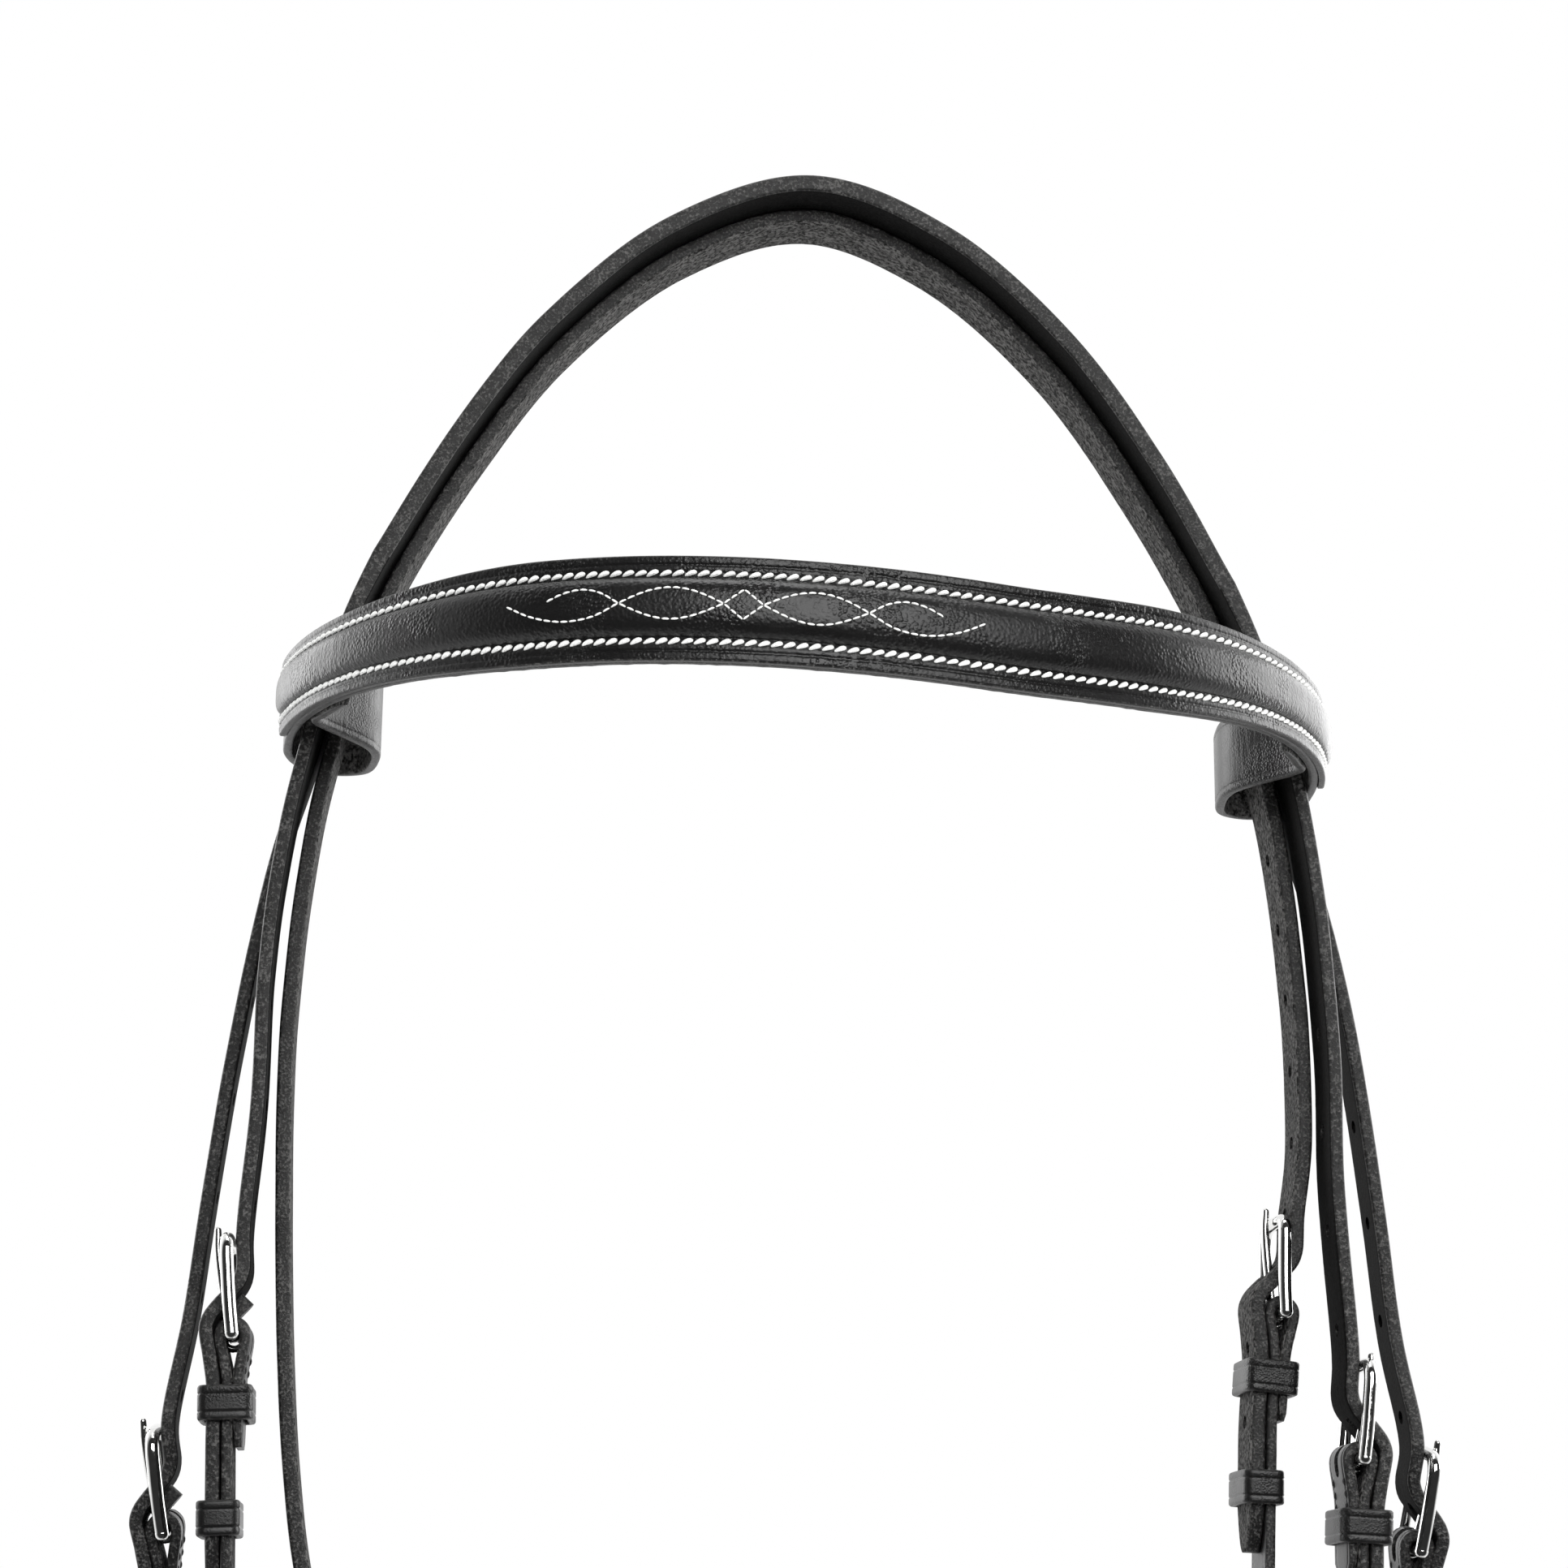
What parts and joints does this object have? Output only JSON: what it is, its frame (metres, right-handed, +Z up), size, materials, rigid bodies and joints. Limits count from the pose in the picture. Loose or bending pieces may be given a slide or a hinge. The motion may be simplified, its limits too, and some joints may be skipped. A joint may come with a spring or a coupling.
{
  "type": "hunter bridle",
  "caption": "Black leather headstall with a padded fancy-stitched browband and noseband, split crownpiece, cheekpieces, throatlatch and steel buckles, without bit or reins.",
  "frame": {"origin": "the seat of the poll: the middle of the flat underside of the noseband headstrap at the top of the arch, where the bridle lies on the head", "axes": "+Z up, -Y towards the front of the face, +X towards the near side, which is on the right of the picture"},
  "size_m": [0.3305, 0.2356, 0.5072],
  "materials": {
    "black_leather": "glossy bridle leather, waxed face and rough flesh side",
    "padded_leather": "glossy leather over padding, with white fancy stitching",
    "polished_steel": "polished stainless steel"
  },
  "bodies": {
    "headpiece": {"crownpiece": "black_leather", "noseband_headstrap": "black_leather", "noseband_hanger": "black_leather", "noseband_strap": "black_leather", "noseband_raised_front": "padded_leather", "throatlatch": "black_leather", "off_cheekpiece": "black_leather", "off_hook_stud": "polished_steel", "off_bit_end_keeper": "black_leather", "near_cheekpiece": "black_leather", "near_hook_stud": "polished_steel", "near_bit_end_keeper": "black_leather", "off_cheek_buckle_frame": "polished_steel", "off_cheek_buckle_fixed_keeper": "black_leather", "near_cheek_buckle_frame": "polished_steel", "near_cheek_buckle_fixed_keeper": "black_leather", "off_throat_buckle_frame": "polished_steel", "off_throat_buckle_fixed_keeper": "black_leather", "near_throat_buckle_frame": "polished_steel", "near_throat_buckle_fixed_keeper": "black_leather", "noseband_buckle_frame": "polished_steel", "noseband_buckle_fixed_keeper": "black_leather", "jaw_buckle_frame": "polished_steel", "jaw_buckle_fixed_keeper": "black_leather"},
    "browband": {"browband_backing": "black_leather", "browband_raised_front": "padded_leather"},
    "off_cheek_buckle_tongue": {"off_cheek_buckle_tongue": "polished_steel"},
    "off_cheek_buckle_running_keeper": {"off_cheek_buckle_running_keeper": "black_leather"},
    "near_cheek_buckle_tongue": {"near_cheek_buckle_tongue": "polished_steel"},
    "near_cheek_buckle_running_keeper": {"near_cheek_buckle_running_keeper": "black_leather"},
    "off_throat_buckle_tongue": {"off_throat_buckle_tongue": "polished_steel"},
    "off_throat_buckle_running_keeper": {"off_throat_buckle_running_keeper": "black_leather"},
    "near_throat_buckle_tongue": {"near_throat_buckle_tongue": "polished_steel"},
    "near_throat_buckle_running_keeper": {"near_throat_buckle_running_keeper": "black_leather"},
    "noseband_buckle_tongue": {"noseband_buckle_tongue": "polished_steel"},
    "noseband_buckle_running_keeper": {"noseband_buckle_running_keeper": "black_leather"},
    "jaw_buckle_tongue": {"jaw_buckle_tongue": "polished_steel"},
    "jaw_buckle_running_keeper": {"jaw_buckle_running_keeper": "black_leather"}
  },
  "joints": [
    {"name": "browband_slide", "type": "slide", "parent": "headpiece", "child": "browband", "axis": [0, 0, 1], "range_m": [-0.001, 0.003]},
    {"name": "off_cheek_buckle_tongue_turn", "type": "hinge", "parent": "headpiece", "child": "off_cheek_buckle_tongue", "pos_m": [-0.14, -0.01175, -0.30539], "axis": [0, -1, 0], "range_deg": [0, 4]},
    {"name": "off_cheek_buckle_running_keeper_slide", "type": "slide", "parent": "headpiece", "child": "off_cheek_buckle_running_keeper", "axis": [-0.0445, 0, 0.999], "range_m": [-0.005, 0.008]},
    {"name": "near_cheek_buckle_tongue_turn", "type": "hinge", "parent": "headpiece", "child": "near_cheek_buckle_tongue", "pos_m": [0.14, -0.01175, -0.33089], "axis": [0, 1, 0], "range_deg": [0, 4]},
    {"name": "near_cheek_buckle_running_keeper_slide", "type": "slide", "parent": "headpiece", "child": "near_cheek_buckle_running_keeper", "axis": [0.0498, 0, 0.9988], "range_m": [-0.005, 0.008]},
    {"name": "off_throat_buckle_tongue_turn", "type": "hinge", "parent": "headpiece", "child": "off_throat_buckle_tongue", "pos_m": [-0.1555, 0.00335, -0.35089], "axis": [0, -0.9834, -0.1816], "range_deg": [0, 4]},
    {"name": "off_throat_buckle_running_keeper_slide", "type": "slide", "parent": "headpiece", "child": "off_throat_buckle_running_keeper", "axis": [-0.1022, -0.0956, 0.9902], "range_m": [-0.003, 0.004]},
    {"name": "near_throat_buckle_tongue_turn", "type": "hinge", "parent": "headpiece", "child": "near_throat_buckle_tongue", "pos_m": [0.1582, 0.00335, -0.35089], "axis": [0, 0.9834, 0.1816], "range_deg": [0, 4]},
    {"name": "near_throat_buckle_running_keeper_slide", "type": "slide", "parent": "headpiece", "child": "near_throat_buckle_running_keeper", "axis": [0.1033, -0.0957, 0.99], "range_m": [-0.003, 0.004]},
    {"name": "noseband_buckle_tongue_turn", "type": "hinge", "parent": "headpiece", "child": "noseband_buckle_tongue", "pos_m": [0.1235, -0.002, -0.29389], "axis": [0, -1, 0], "range_deg": [0, 4]},
    {"name": "noseband_buckle_running_keeper_slide", "type": "slide", "parent": "headpiece", "child": "noseband_buckle_running_keeper", "axis": [0.0337, 0, 0.9994], "range_m": [-0.004, 0.006]},
    {"name": "jaw_buckle_tongue_turn", "type": "hinge", "parent": "headpiece", "child": "jaw_buckle_tongue", "pos_m": [0.05258, 0.06687, -0.44289], "axis": [0, 0, -1], "range_deg": [0, 4]},
    {"name": "jaw_buckle_running_keeper_slide", "type": "slide", "parent": "headpiece", "child": "jaw_buckle_running_keeper", "axis": [-0.6672, 0.7449, 0], "range_m": [-0.0015, 0.002]}
  ]
}
